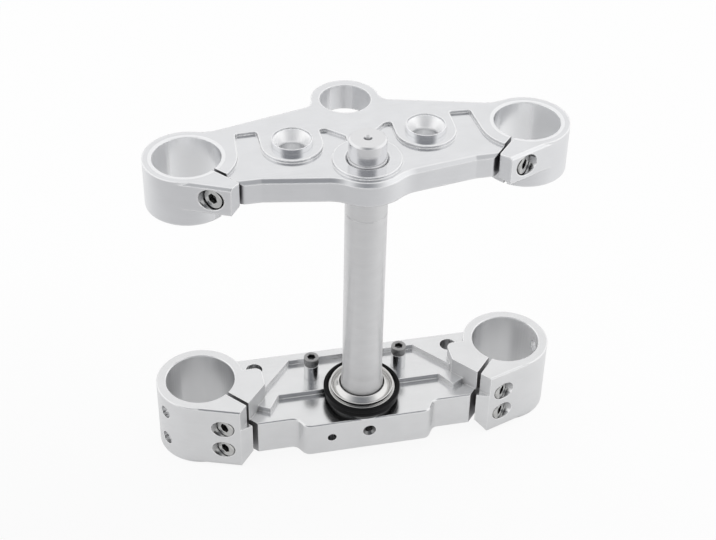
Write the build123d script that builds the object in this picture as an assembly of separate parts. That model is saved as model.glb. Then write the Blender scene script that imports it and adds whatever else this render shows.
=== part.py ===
from build123d import *
import os
from math import cos, radians, sin, sqrt

os.makedirs("parts", exist_ok=True)

# Shared frame in millimetres. The steering axis is the Z axis, z = 0 is the underside of the
# lower fork clamps, +X is the rider's right and +Y is the front of the motorcycle.

# Fork and steering layout
fork_spacing = 210.0
fork_offset = 20.4  # steering axis to the plane through both fork tubes
upper_tube_d = 41.0
lower_tube_d = 45.0
tube_clearance = 0.05  # radial, pinched out by the screws
fork_x = fork_spacing / 2

# Upper clamp
upper_top = 227.5
upper_plate_t = 17.5
upper_ring_h = 31.5
upper_lip_h = 19.0
upper_ring_r = 26.5
upper_flat_angle = 23.5  # lip's front flat, turned from the X axis
upper_lip_reach = 42.0  # ring centre to the lip's end, along the slit
upper_slit_gap = 2.2
upper_lip_chamfer = 1.7
upper_lip_round = 1.5
upper_mouth_round = 6.5  # plate's corner at the slit's mouth
upper_corner_slope = 0.5  # rise of the lip's underside towards the slit
upper_rim = 0.4
upper_screw_reach = 30.9
upper_screw_drop = 9.4  # below the top face
upper_counterbore_d = 14.3
pocket_depth = 2.0
front_chamfer = 2.3
nose_r = 25.9
arm_front_y = -9.4
arm_knee_inset = 40.0  # inboard of the ring's centre
arm_slope = 0.166  # sideways run of the front edge between knee and nose
rear_edge_x = 26.0
rear_edge_y = 59.6
rear_edge_slope = -0.254
rear_ring_y = 65.1
rear_ring_r = 21.5
rear_bore_r = 16.0
stem_boss_r = 21.0
collar_r = 30.0  # raised land round each fork bore
spigot_clearance = 0.1
hole_chamfer = 1.3
nose_corner_round = 24.0
rear_corner_round = 7.0
ring_corner_round = 25.0
top_pocket_corner = (31.4, 38.8)  # inboard of the ring's centre, and forward
top_pocket_outer_y = 39.4
top_pocket_inner_y = 35.4
top_pocket_neck = (18.0, 34.4)
top_neck_half = 8.0
top_neck_y = 25.2
top_pocket_round = 2.0

# Handlebar riser cups
cup_x = 41.3
cup_y = 22.9
cup_rim_r = 12.5
cup_rise = 3.5
cup_break = 0.5
cup_cone_r = 11.9
cup_bore_r = 7.35
cup_cone_depth = 7.9
cup_wall = 1.1  # between the cone and the shank's top
cup_land_r = 18.7  # raised tongue round each cup
cup_clearance = 0.02

# Steering stem
stem_d = 26.2
guide_d = 24.0  # stem inside the upper clamp's hole
guide_over = 0.3  # guide's end above the upper clamp
spigot_d = 23.2
spigot_rise = 14.0
spigot_chamfer = 1.2
centre_hole_d = 5.6
seat_d = 28.0
seat_h = 12.5
seat_taper = 8.0
stem_break = 1.0
groove_drop = 21.5  # below the upper clamp
groove_w = 1.0
groove_depth = 0.3
press_clearance = 0.02

# Lower clamp
lower_ring_h = 49.2
lower_ring_r = 29.0
lower_plate_bottom = 8.0
lower_flat_angle = 19.0
lower_slit_gap = 2.6
low_slit_extra = 1.0  # slit below the floor, cut wider on the plate's side
lower_lip_bottom = 1.5
lower_lip_chamfer = 1.0
lower_corner_slope = 1.1
lower_rim = 0.6
low_lip_reach = 45.3  # ring centre to the lip's end below the floor, along the slit
ear_reach = 40.5  # ring centre to the ears' end above the floor, along the slit
ear_angle = 40.1  # ears' end face, turned from the Y axis
lower_screw_reach = 31.6
lower_screw_drops = (34.5, 16.2)  # below the ring's top
lower_counterbore_d = 13.5
floor_drop = 15.7  # ring's top to each level of the plate
shelf_drop = 11.7
rail_drop = 7.9
rear_rail_y = 41.1
pocket_rear_y = 35.1
pocket_corner_inset = 61.6  # inboard of the ring's centre
tower_inset = 41.0  # inboard of the ring's centre
tower_rear_y = 23.4
tower_round = 4.5
pocket_meets_tower_y = 10.6
step_y = 7.1
step_inset = 50.0  # step's end, inboard of the ring's centre
floor_bend = (42.6, -4.6)  # inboard of the ring's centre, and forward
floor_ear_inset = 35.0  # where the floor's edge runs onto the ears' end
nose_front_y = -22.4
nose_half = 41.5
arm_half = 47.0
lower_arm_y = -13.2
nose_round = 6.0
nose_break = 0.8
rail_round = 6.0
lower_boss_r = 22.3
rail_hole_d = 11.2
rail_hole = (37.5, 30.6)  # inboard of the ring's centre, and forward
front_hole_d = 6.0
front_hole = (-24.3, 20.8)
front_hole_depth = 15.0
stop_hole_d = 5.0
stop_hole_rim_d = 8.7
stop_hole = (1.0, 22.5)
stop_hole_depth = 7.5
side_hole_d = 9.0
side_hole_pitch = 23.4
side_hole_turn = {-1: -28.0, 1: 6.0}  # from straight outboard, positive towards the front
rim_break = 0.5
flat_proud = 0.02  # the lips' flats stand this far off the rings they run into

# Bearing race and dust seal
race_r = 21.0
race_h = 8.5
race_rim_w = 0.9
race_floor_h = 3.1  # foot of the gap round the stem
race_gap = 1.3  # between the stem's seat and the ball track
race_lip_drop = 1.1  # track's inner lip below the rim
race_track = (2.4, 2.1)  # deepest ring of the ball track, inward from the rim and down
seal_r = 25.4
seal_h = 7.0
seal_break = 0.8
seal_lip_w = 1.4
seal_groove = 1.0
seal_groove_slope = 0.6
ring_clearance = 0.05

# Screws
m8_d = 8.0
m8_head_d = 13.0
m8_head_h = 8.0
m8_hex = 6.0
m8_hex_depth = 4.0
m8_length = 25.0
screw_break = 0.8
m6_d = 6.0
m6_head_d = 10.0
m6_head_h = 6.0
m6_hex = 5.0
m6_hex_depth = 3.0
m6_length = 24.0
thread_clearance = 0.05  # radial, the tapped hole and the screw are both plain
slip_clearance = 0.2  # radial, drilled hole that lets the screw pass
tap_extra = 2.0  # hole beyond the screw's tip
bolt_x = 30.0
bolt_y = 21.2
bolt_stand = 17.5  # head's top above the shelf
sleeve_d = 10.0

slit_angle = 41.5  # slit, turned inboard from straight back

# Worked out from the sizes above
cut_reach = fork_x  # cutters run this far past what they cut
arm_knee_x = fork_x - arm_knee_inset
pocket_corner_x = fork_x - pocket_corner_inset
tower_x = fork_x - tower_inset
step_half = fork_x - step_inset
floor_point = (fork_x - floor_bend[0], floor_bend[1])
floor_ear_x = fork_x - floor_ear_inset
upper_plate_bottom = upper_top - upper_plate_t
upper_ring_bottom = upper_top - upper_ring_h
upper_lip_bottom = upper_top - upper_lip_h
upper_floor = upper_top - pocket_depth
upper_bore_r = upper_tube_d / 2 + tube_clearance
lower_bore_r = lower_tube_d / 2 + tube_clearance
low_slit_side = -lower_slit_gap / 2 - low_slit_extra
stem_hole_r = guide_d / 2 + spigot_clearance
cup_shank_r = cup_bore_r + (cup_cone_r - cup_bore_r) * (1 - cup_rise / cup_cone_depth) + cup_wall
spigot_top = upper_top + spigot_rise
floor_z = lower_ring_h - floor_drop
shelf_z = lower_ring_h - shelf_drop
rail_z = lower_ring_h - rail_drop
lower_screw_z = [lower_ring_h - drop for drop in lower_screw_drops]
seat_top = shelf_z + seat_h
groove_z = upper_plate_bottom - groove_drop
race_top = shelf_z + race_h
race_floor = shelf_z + race_floor_h
seal_top = shelf_z + seal_h
bolt_seat = shelf_z + bolt_stand - m6_head_h
UP = (Align.CENTER, Align.CENTER, Align.MIN)


def slab(plan, bottom, top):
    """Raise a plan between two heights."""
    return extrude(Pos(0, 0, bottom) * plan, top - bottom)


def polygon(points):
    """Face with straight sides through the points."""
    return make_face(Polyline(*points, close=True))


def both_sides(right):
    """A shape on the right and its mirror image on the left."""
    return right + mirror(right, about=Plane.YZ)


def round_corners(plan, points, radius):
    """Round the corners of a plan that lie nearest the points."""
    corners = plan.vertices()
    chosen = [corners.sort_by_distance(Vector(x, y, 0))[0] for x, y in points]
    return fillet(chosen, radius)


def crossing(centre, radius, start, slope, way):
    """Where a sloping edge through start crosses a circle: way -1 is the left crossing, 1 the right."""
    run = start[0] - centre[0]
    rise = start[1] - centre[1] - slope * run
    lean = 1 + slope**2
    x = (-slope * rise + way * sqrt(lean * radius**2 - rise**2)) / lean
    return (centre[0] + x, centre[1] + slope * x + rise)


class PinchEar:
    """Right-hand fork ring's slit, lip and pinch screw line, seen in plan."""

    def __init__(self, ring_r, flat_angle, screw_reach):
        self.flat_r = ring_r + flat_proud
        self.screw_reach = screw_reach
        self.along = (-sin(radians(slit_angle)), -cos(radians(slit_angle)))
        self.across = (cos(radians(slit_angle)), -sin(radians(slit_angle)))
        self.normal = (sin(radians(flat_angle)), -cos(radians(flat_angle)))
        self.rise = self.normal[0] * self.along[0] + self.normal[1] * self.along[1]
        self.lean = self.normal[0] * self.across[0] + self.normal[1] * self.across[1]
        self.seat = self.flat_at(screw_reach) - m8_head_h

    def flat_at(self, reach):
        """Distance from the slit to the lip's flat, at a reach from the ring's centre."""
        return (self.flat_r - reach * self.rise) / self.lean

    def point(self, reach, out):
        """Plan point at a reach along the slit and a distance out towards the lip."""
        x = fork_x + reach * self.along[0] + out * self.across[0]
        y = fork_offset + reach * self.along[1] + out * self.across[1]
        return (x, y)

    def tangent(self):
        """Where the lip's flat leaves the ring."""
        return (fork_x + self.flat_r * self.normal[0], fork_offset + self.flat_r * self.normal[1])

    def slit(self, gap, height):
        """Cutter for the slit, from the bore past the lip's end."""
        corners = [self.point(0, gap / 2), self.point(0, -gap / 2)]
        corners += [self.point(cut_reach, -gap / 2), self.point(cut_reach, gap / 2)]
        return slab(polygon(corners), -1, height + 1)

    def mouth(self, y, side):
        """Where a line beside the slit meets a front edge."""
        reach = (fork_offset - y - side * sin(radians(slit_angle))) / cos(radians(slit_angle))
        return self.point(reach, side)

    def screw_plane(self, z):
        """Plane on the slit at the screw's axis, facing the way the screw leaves."""
        x, y = self.point(self.screw_reach, 0)
        return Plane(origin=(x, y, z), z_dir=(self.across[0], self.across[1], 0))

    def screw_hole(self, z, counterbore_d):
        """Cutter for the counterbore, the slip hole and the tapped hole."""
        plane = self.screw_plane(z)
        head = Pos(0, 0, self.seat) * Cylinder(counterbore_d / 2, cut_reach, align=UP)
        slip = Cylinder(m8_d / 2 + slip_clearance, self.seat + 1, align=UP)
        depth = m8_length - self.seat + tap_extra
        tapped = Pos(0, 0, -depth) * Cylinder(m8_d / 2 + thread_clearance, depth + 1, align=UP)
        return plane * (head + slip + tapped)

    def screw(self, z):
        """Pinch screw in its hole."""
        body = socket_screw(m8_d, m8_length, m8_head_d, m8_head_h, m8_hex, m8_hex_depth)
        return self.screw_plane(z) * Pos(0, 0, self.seat) * body


def socket_screw(thread_d, length, head_d, head_h, hex_af, hex_depth):
    """Socket head screw standing on z = 0 under its head, shank downwards."""
    head_r = head_d / 2
    shank_r = thread_d / 2
    outline = [
        (0, -length),
        (shank_r, -length),
        (shank_r, 0),
        (head_r, 0),
        (head_r, head_h - screw_break),
        (head_r - screw_break, head_h),
        (0, head_h),
    ]
    body = revolve(Plane.XZ * polygon(outline), Axis.Z)
    socket = extrude(RegularPolygon(hex_af / 2, 6, major_radius=False), hex_depth)
    return body - Pos(0, 0, head_h - hex_depth) * socket


upper_ear = PinchEar(upper_ring_r, upper_flat_angle, upper_screw_reach)
lower_ear = PinchEar(lower_ring_r, lower_flat_angle, lower_screw_reach)
upper_screw_z = upper_top - upper_screw_drop


def rear_edge(x):
    """Upper plate's rear edge at a distance from the middle."""
    return rear_edge_y + (x - rear_edge_x) * rear_edge_slope


def front_edge(x):
    """Upper plate's sloping front edge at a distance from the middle."""
    return arm_front_y - (arm_knee_x - x) * arm_slope


def upper_plan():
    """Upper plate seen from above: nose, arms, fork rings and rear ring."""
    right = [
        (nose_r / 2, front_edge(nose_r / 2)),
        (arm_knee_x, arm_front_y),
        upper_ear.mouth(arm_front_y, 0),
        (fork_x, fork_offset),
        (fork_x, rear_edge(fork_x)),
    ]
    left = [(-x, y) for x, y in reversed(right)]
    plan = polygon(right + [(0, rear_edge(0))] + left)
    plan += Circle(nose_r)
    plan += Pos(0, rear_ring_y) * Circle(rear_ring_r)
    plan += both_sides(Pos(fork_x, fork_offset) * Circle(upper_ring_r))
    rear_start = (rear_edge_x, rear_edge_y)
    bends = [
        (crossing((0, 0), nose_r, right[1], arm_slope, 1), nose_corner_round),
        (crossing((0, rear_ring_y), rear_ring_r, rear_start, rear_edge_slope, 1), rear_corner_round),
        (crossing((fork_x, fork_offset), upper_ring_r, rear_start, rear_edge_slope, -1), ring_corner_round),
    ]
    for (x, y), radius in bends:
        plan = round_corners(plan, [(x, y), (-x, y)], radius)
    return plan


def upper_pocket():
    """Shallow pocket in the right half of the upper plate's top, open at the front edge."""
    neck_y = sqrt(stem_boss_r**2 - top_neck_half**2)
    corner = (fork_x - top_pocket_corner[0], top_pocket_corner[1])
    outer_x = cup_x + cup_land_r
    inner_x = cup_x - cup_land_r
    collar = (fork_x - collar_r, fork_offset)
    slit_end = upper_ear.point(collar_r, 0)
    middle = radians(180 + 0.5 * (90 - slit_angle))
    collar_mid = (fork_x + collar_r * cos(middle), fork_offset + collar_r * sin(middle))
    edge = Polyline(corner, (outer_x, top_pocket_outer_y), (outer_x, cup_y))
    edge += ThreePointArc((outer_x, cup_y), (cup_x, cup_y - cup_land_r), (inner_x, cup_y))
    edge += Polyline(
        (inner_x, cup_y),
        (inner_x, top_pocket_inner_y),
        top_pocket_neck,
        (top_neck_half, top_neck_y),
        (top_neck_half, neck_y),
    )
    edge += ThreePointArc((top_neck_half, neck_y), (stem_boss_r, 0), (0, -stem_boss_r))
    edge += Polyline((0, -stem_boss_r), (0, -cut_reach), upper_ear.point(collar_r + cut_reach, 0), slit_end)
    edge += ThreePointArc(slit_end, collar_mid, collar)
    edge += Line(collar, corner)
    bends = [corner, (outer_x, top_pocket_outer_y), (inner_x, top_pocket_inner_y)]
    return round_corners(make_face(edge), bends, top_pocket_round)


def under_corner(corner_x, bottom, slope):
    """Cutter for the slanted underside at a lip's inner corner."""
    section = [(corner_x + 1, bottom - slope), (corner_x - cut_reach, bottom - slope)]
    section += [(corner_x - cut_reach, bottom + cut_reach * slope)]
    return extrude(Plane.XZ * polygon(section), cut_reach)


def chamfer_flat(lip, ear, corner, top, size):
    """Chamfer the top edge of a lip's flat."""
    start = ear.tangent()
    middle = Vector((start[0] + corner[0]) / 2, (start[1] + corner[1]) / 2, top)
    top_edges = lip.edges().filter_by_position(Axis.Z, top, top)
    return chamfer(top_edges.sort_by_distance(middle)[0], size)


def upper_lip():
    """Right-hand pinch lip of the upper clamp."""
    half_gap = upper_slit_gap / 2
    corner = upper_ear.point(upper_lip_reach, upper_ear.flat_at(upper_lip_reach))
    end = upper_ear.point(upper_lip_reach, half_gap)
    plan = polygon([upper_ear.point(0, half_gap), upper_ear.tangent(), corner, end])
    plan = round_corners(plan, [end], upper_lip_round)
    lip = slab(plan, upper_lip_bottom, upper_top)
    lip = chamfer_flat(lip, upper_ear, corner, upper_top, upper_lip_chamfer)
    return lip - under_corner(corner[0], upper_lip_bottom, upper_corner_slope)


def mouth_corner():
    """Cutter that rounds the upper plate's corner at the right slit's mouth."""
    side = -upper_slit_gap / 2
    leg = 2 * upper_mouth_round
    corner = upper_ear.mouth(arm_front_y, side)
    back = (corner[0] - leg * upper_ear.along[0], corner[1] - leg * upper_ear.along[1])
    wedge = polygon([corner, (corner[0] - leg, corner[1]), back])
    rounded = round_corners(wedge, [corner], upper_mouth_round)
    return slab(wedge - rounded, upper_plate_bottom - 1, upper_top + 1)


def fork_bore(radius, rim, bottom, top):
    """Cutter for a right-hand fork bore with chamfered rims."""
    outline = [
        (0, bottom - 1),
        (radius + rim + 1, bottom - 1),
        (radius, bottom + rim),
        (radius, top - rim),
        (radius + rim + 1, top + 1),
        (0, top + 1),
    ]
    return Pos(fork_x, fork_offset) * revolve(Plane.XZ * polygon(outline), Axis.Z)


def fork_ring(radius, bottom, top):
    """Right-hand fork ring before boring, its outer edges broken."""
    ring = slab(Circle(radius), bottom, top)
    ring = chamfer(ring.edges(), rim_break)
    return Pos(fork_x, fork_offset) * ring


def build_upper_clamp():
    """Upper clamp: plate, split fork rings, rear ring and holes, one machined piece."""
    plan = upper_plan()
    plate = slab(plan, upper_plate_bottom, upper_floor)
    front = plate.edges().filter_by_position(Axis.Z, upper_floor, upper_floor)
    mouth_x = upper_ear.mouth(arm_front_y, 0)[0]
    front_y = arm_front_y + front_chamfer / 2
    front = front.filter_by(lambda e: e.center().Y < front_y and abs(e.center().X) < mouth_x)
    plate = chamfer(front, front_chamfer)
    pockets = both_sides(upper_pocket())
    plate += slab(plan - pockets, upper_floor, upper_top)
    fork_end = fork_ring(upper_ring_r, upper_ring_bottom, upper_top) + upper_lip()
    plate += fork_end
    plate += mirror(fork_end, about=Plane.YZ)
    cuts = fork_bore(upper_bore_r, upper_rim, upper_ring_bottom, upper_top)
    cuts += upper_ear.slit(upper_slit_gap, upper_top) + mouth_corner()
    cuts += upper_ear.screw_hole(upper_screw_z, upper_counterbore_d)
    cuts += Pos(cup_x, cup_y) * Cylinder(cup_shank_r + cup_clearance, 3 * upper_top)
    plate -= cuts
    plate -= mirror(cuts, about=Plane.YZ)
    plate -= Pos(0, rear_ring_y) * Cylinder(rear_bore_r, 3 * upper_top)
    stem_hole = [
        (0, upper_plate_bottom - 1),
        (stem_hole_r, upper_plate_bottom - 1),
        (stem_hole_r, upper_top - hole_chamfer),
        (stem_hole_r + hole_chamfer + 1, upper_top + 1),
        (0, upper_top + 1),
    ]
    return plate - revolve(Plane.XZ * polygon(stem_hole), Axis.Z)


def ear_end(run):
    """Point on the vertical end face of the lower clamp's right ears, above the floor."""
    x, y = lower_ear.point(ear_reach, 0)
    return (x - run * sin(radians(ear_angle)), y + run * cos(radians(ear_angle)))


def ear_end_at(x):
    """Point on the ears' end face at a distance from the middle."""
    return ear_end((lower_ear.point(ear_reach, 0)[0] - x) / sin(radians(ear_angle)))


def ear_corner():
    """Where the ears' end face meets the lip's flat."""
    normal = lower_ear.normal
    lean = normal[0] * sin(radians(ear_angle)) - normal[1] * cos(radians(ear_angle))
    return ear_end((ear_reach * lower_ear.rise - lower_ear.flat_r) / lean)


def lower_plan():
    """Lower plate seen from above: nose, arms and fork rings."""
    join_x = fork_x - sqrt(lower_ring_r**2 - (rear_rail_y - fork_offset) ** 2)
    right = [
        (nose_half, nose_front_y),
        (arm_half, lower_arm_y),
        lower_ear.mouth(lower_arm_y, low_slit_side),
        lower_ear.point(0, low_slit_side),
        (fork_x, rear_rail_y),
    ]
    left = [(-x, y) for x, y in reversed(right)]
    plan = polygon(right + left)
    plan += both_sides(Pos(fork_x, fork_offset) * Circle(lower_ring_r))
    bends = [right[0], right[1], left[-1], left[-2]]
    plan = round_corners(plan, bends, nose_round)
    return round_corners(plan, [(join_x, rear_rail_y), (-join_x, rear_rail_y)], rail_round)


def lower_floor():
    """Front floor of the lower clamp, everything in front of the step and the ears."""
    right = [
        (step_half, step_y),
        floor_point,
        ear_end_at(floor_ear_x),
        ear_end(-cut_reach),
        (floor_point[0], ear_end(-cut_reach)[1]),
    ]
    left = [(-x, y) for x, y in reversed(right)]
    return polygon(right + left)


def lower_pocket():
    """Pocket behind the floor, bounded by the rail, its diagonals and the towers."""
    right = [
        (pocket_corner_x, pocket_rear_y),
        (tower_x, pocket_meets_tower_y),
        ear_end_at(tower_x),
        ear_end_at(floor_ear_x),
        (step_half, -cut_reach),
    ]
    left = [(-x, y) for x, y in reversed(right)]
    return polygon(right + left)


def lower_tower():
    """Raised lug beside the right fork ring, inboard of the slit."""
    rear_corner = (tower_x, tower_rear_y)
    plan = polygon(
        [
            ear_end_at(tower_x),
            rear_corner,
            (fork_x, tower_rear_y),
            (fork_x, fork_offset),
            lower_ear.point(ear_reach, 0),
        ]
    )
    plan = round_corners(plan, [rear_corner], tower_round)
    return slab(plan, floor_z, lower_ring_h)


def lower_lip():
    """Right-hand pinch lip of the lower clamp, longer below the floor's level."""
    half_gap = lower_slit_gap / 2
    corner = ear_corner()
    root = lower_ear.point(0, half_gap)
    high = polygon([root, lower_ear.tangent(), corner, lower_ear.point(ear_reach, half_gap)])
    low = polygon([root, lower_ear.tangent(), corner, lower_ear.point(low_lip_reach, half_gap)])
    upper = slab(high, floor_z, lower_ring_h)
    upper = chamfer_flat(upper, lower_ear, corner, lower_ring_h, lower_lip_chamfer)
    lower = slab(low, lower_lip_bottom, floor_z)
    lower -= under_corner(corner[0], lower_lip_bottom, lower_corner_slope)
    return upper + lower


def side_holes():
    """Cutters for the two holes, one above the other, in the outboard wall of each fork ring."""
    cutters = []
    for side, turn in side_hole_turn.items():
        outward = (side * cos(radians(turn)), sin(radians(turn)), 0)
        for z in (lower_ring_h / 2 - side_hole_pitch / 2, lower_ring_h / 2 + side_hole_pitch / 2):
            plane = Plane(origin=(side * fork_x, fork_offset, z), z_dir=outward)
            cutters.append(plane * Cylinder(side_hole_d / 2, 2 * lower_ring_r, align=UP))
    return cutters


def front_holes():
    """Cutters for the plain hole and the countersunk hole in the nose's front face."""
    into = Plane.XZ.offset(-nose_front_y)
    plain = Pos(front_hole[0], front_hole[1]) * Cylinder(front_hole_d / 2, 2 * front_hole_depth)
    stop = [
        (0, -stop_hole_depth),
        (stop_hole_d / 2, -stop_hole_depth),
        (stop_hole_d / 2, (stop_hole_d - stop_hole_rim_d) / 2),
        (stop_hole_rim_d / 2 + 1, 1),
        (0, 1),
    ]
    stop = Pos(stop_hole[0], stop_hole[1]) * revolve(Plane.XZ * polygon(stop), Axis.Z)
    return [into * plain, into * stop]


def build_lower_clamp():
    """Lower clamp: stepped plate, split fork rings, towers and holes, one machined piece."""
    plan = lower_plan()
    floor = lower_floor()
    clamp = slab(plan, lower_plate_bottom, floor_z)
    front = clamp.edges().filter_by_position(Axis.Z, floor_z, floor_z)
    mouth_x = lower_ear.mouth(lower_arm_y, low_slit_side)[0]
    front_y = lower_arm_y + nose_break / 2
    front = front.filter_by(lambda e: e.center().Y < front_y and abs(e.center().X) < mouth_x)
    clamp = chamfer(front, nose_break)
    clamp += slab(plan - floor, floor_z, shelf_z)
    clamp += slab(plan - floor - lower_pocket(), shelf_z, rail_z)
    clamp += slab(Circle(lower_boss_r), lower_plate_bottom, shelf_z)
    fork_end = fork_ring(lower_ring_r, 0, lower_ring_h) + lower_lip() + lower_tower()
    clamp += fork_end
    clamp += mirror(fork_end, about=Plane.YZ)
    cuts = fork_bore(lower_bore_r, lower_rim, 0, lower_ring_h)
    cuts += lower_ear.slit(lower_slit_gap, lower_ring_h)
    for z in lower_screw_z:
        cuts += lower_ear.screw_hole(z, lower_counterbore_d)
    rail_place = Pos(fork_x - rail_hole[0], rail_hole[1])
    cuts += rail_place * Cylinder(rail_hole_d / 2, 3 * lower_ring_h)
    tap_depth = m6_length + tap_extra
    tapped = Cylinder(m6_d / 2 + thread_clearance, tap_depth, align=UP)
    cuts += Pos(bolt_x, bolt_y, bolt_seat - tap_depth) * tapped
    clamp -= cuts
    clamp -= mirror(cuts, about=Plane.YZ)
    clamp -= Cylinder(stem_d / 2 + press_clearance, 3 * lower_ring_h)
    for cutter in side_holes() + front_holes():
        clamp -= cutter
    return clamp


def build_stem():
    """Steering stem: bearing seat, plain shaft and spigot through the upper clamp, one turned piece."""
    stem_r = stem_d / 2
    guide_r = guide_d / 2
    spigot_r = spigot_d / 2
    seat_r = seat_d / 2
    point_r = centre_hole_d / 2
    outline = [
        (0, lower_plate_bottom),
        (stem_r - stem_break, lower_plate_bottom),
        (stem_r, lower_plate_bottom + stem_break),
        (stem_r, shelf_z),
        (seat_r, shelf_z),
        (seat_r, seat_top),
        (stem_r, seat_top + seat_taper),
        (stem_r, groove_z - groove_w / 2),
        (stem_r - groove_depth, groove_z - groove_w / 2 + groove_depth),
        (stem_r - groove_depth, groove_z + groove_w / 2 - groove_depth),
        (stem_r, groove_z + groove_w / 2),
        (stem_r, upper_plate_bottom),
        (guide_r, upper_plate_bottom),
        (guide_r, upper_top + guide_over),
        (spigot_r, upper_top + guide_over),
        (spigot_r, spigot_top - spigot_chamfer),
        (spigot_r - spigot_chamfer, spigot_top),
        (point_r, spigot_top),
        (point_r / 3, spigot_top - 1.15 * point_r),
        (point_r / 3, spigot_top - 2 * point_r),
        (0, spigot_top - 2 * point_r),
    ]
    return revolve(Plane.XZ * polygon(outline), Axis.Z)


def build_race():
    """Lower bearing race round the stem's seat: a shallow ball track that stops short of the stem."""
    inner_r = seat_d / 2 + ring_clearance
    rim_in = race_r - race_rim_w
    lip_r = seat_d / 2 + race_gap
    outline = [
        (inner_r, race_floor),
        (inner_r, shelf_z),
        (race_r, shelf_z),
        (race_r, race_top),
        (rim_in, race_top),
        (rim_in - race_track[0], race_top - race_track[1]),
        (lip_r, race_top - race_lip_drop),
        (lip_r, race_floor),
    ]
    return revolve(Plane.XZ * polygon(outline), Axis.Z)


def build_seal():
    """Rubber dust seal round the race, its wiping lip standing up at the outer edge."""
    inner_r = race_r + ring_clearance
    lip_in = seal_r - seal_break - seal_lip_w
    outline = [
        (inner_r, shelf_z),
        (seal_r, shelf_z),
        (seal_r, seal_top - seal_break),
        (seal_r - seal_break, seal_top),
        (lip_in, seal_top),
        (lip_in - seal_groove_slope, seal_top - seal_groove),
        (inner_r, seal_top - seal_groove),
    ]
    return revolve(Plane.XZ * polygon(outline), Axis.Z)


def build_cup():
    """Riser cup at the middle, a turned insert with a coned mouth over a plain bore."""
    rim_top = upper_top + cup_rise
    outline = [
        (cup_bore_r, upper_plate_bottom),
        (cup_shank_r, upper_plate_bottom),
        (cup_shank_r, upper_top),
        (cup_rim_r, upper_top),
        (cup_rim_r, rim_top - cup_break),
        (cup_cone_r, rim_top),
        (cup_bore_r, rim_top - cup_cone_depth),
    ]
    return revolve(Plane.XZ * polygon(outline), Axis.Z)


def build_sleeve():
    """Spacer sleeve at the middle, standing on the lower clamp's shelf."""
    inner_r = m6_d / 2 + slip_clearance
    outer_r = sleeve_d / 2
    outline = [
        (inner_r, shelf_z),
        (outer_r, shelf_z),
        (outer_r, bolt_seat),
        (inner_r, bolt_seat),
    ]
    return revolve(Plane.XZ * polygon(outline), Axis.Z)


def mirrored_group(right):
    """Separate solids: each right-hand one and its mirror image."""
    return Compound(children=right + [mirror(shape, about=Plane.YZ) for shape in right])


if __name__ == "__main__":
    export_step(build_upper_clamp(), "parts/upper_clamp.step")
    export_step(build_lower_clamp(), "parts/lower_clamp.step")
    export_step(build_stem(), "parts/steering_stem.step")
    export_step(build_race(), "parts/lower_bearing_race.step")
    export_step(build_seal(), "parts/dust_seal.step")
    export_step(mirrored_group([upper_ear.screw(upper_screw_z)]), "parts/upper_pinch_screws.step")
    export_step(mirrored_group([lower_ear.screw(z) for z in lower_screw_z]), "parts/lower_pinch_screws.step")
    bracket_bolt = socket_screw(m6_d, m6_length, m6_head_d, m6_head_h, m6_hex, m6_hex_depth)
    export_step(mirrored_group([Pos(bolt_x, bolt_y, bolt_seat) * bracket_bolt]), "parts/bracket_bolts.step")
    for name, side in (("left", -1), ("right", 1)):
        export_step(Pos(side * cup_x, cup_y) * build_cup(), f"parts/{name}_riser_cup.step")
        export_step(Pos(side * bolt_x, bolt_y) * build_sleeve(), f"parts/{name}_spacer_sleeve.step")
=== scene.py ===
"""Motorcycle triple clamp: finishes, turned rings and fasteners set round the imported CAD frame."""

import logging
import math
from dataclasses import dataclass, field
from enum import Enum

import bmesh
import bpy
from mathutils import Matrix, Vector


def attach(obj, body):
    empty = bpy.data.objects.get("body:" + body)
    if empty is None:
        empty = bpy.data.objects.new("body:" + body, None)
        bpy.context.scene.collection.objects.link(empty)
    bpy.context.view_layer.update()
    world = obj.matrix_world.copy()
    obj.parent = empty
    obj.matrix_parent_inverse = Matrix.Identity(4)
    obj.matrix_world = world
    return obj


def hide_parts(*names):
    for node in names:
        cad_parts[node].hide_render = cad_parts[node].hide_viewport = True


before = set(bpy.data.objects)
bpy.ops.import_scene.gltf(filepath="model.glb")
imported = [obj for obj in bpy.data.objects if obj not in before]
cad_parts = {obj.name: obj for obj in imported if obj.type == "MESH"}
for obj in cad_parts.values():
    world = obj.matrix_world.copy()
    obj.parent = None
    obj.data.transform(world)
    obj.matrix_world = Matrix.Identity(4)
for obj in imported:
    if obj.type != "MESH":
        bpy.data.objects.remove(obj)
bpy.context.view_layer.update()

LOG = logging.getLogger("triple_clamp")
BODY = "root"
MM = 0.001
MICRON = 1e-6
HAIR = 0.1  # millimetres: masks end within a few of these
MERGE = 1e-4  # millimetres within which vertices are one
SHARP_ANGLE = math.radians(32)

# Places that more than one class uses, in millimetres and degrees.
FORK_X = 105.0
FORK_Y = 20.4
SLIT_TURN = 41.5
SHELF = 37.5
CUP_X = 41.3
CUP_Y = 22.9
CUP_BORE_R = 7.35

# Ranges over which masks run from 0 to 1, as shares of a normal or of open sky.
LEVEL_FACE = (0.5, 0.9)
UPRIGHT_WALL = (0.5, 0.2)
EDGE_BEND = (0.02, 0.15)
RECESS_OPEN = (0.05, 0.6)
MARK_RANGE = (0.25, 0.75)

# Shares of colour and gloss that every finish has in common.
EDGE_REACH = 1.7  # how far the painted highlight on the edges reaches past their rounding
MARK_TONE = 0.93
GLOSS_LEAST = 0.85
GLOSS_SPREAD = 0.3
STREAK_TURN = 0.25

Triple = tuple[float, float, float]
Colour = Triple
Point = tuple[float, float]
Settings = dict[str, object]
Inputs = dict[str | int, object]


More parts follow.
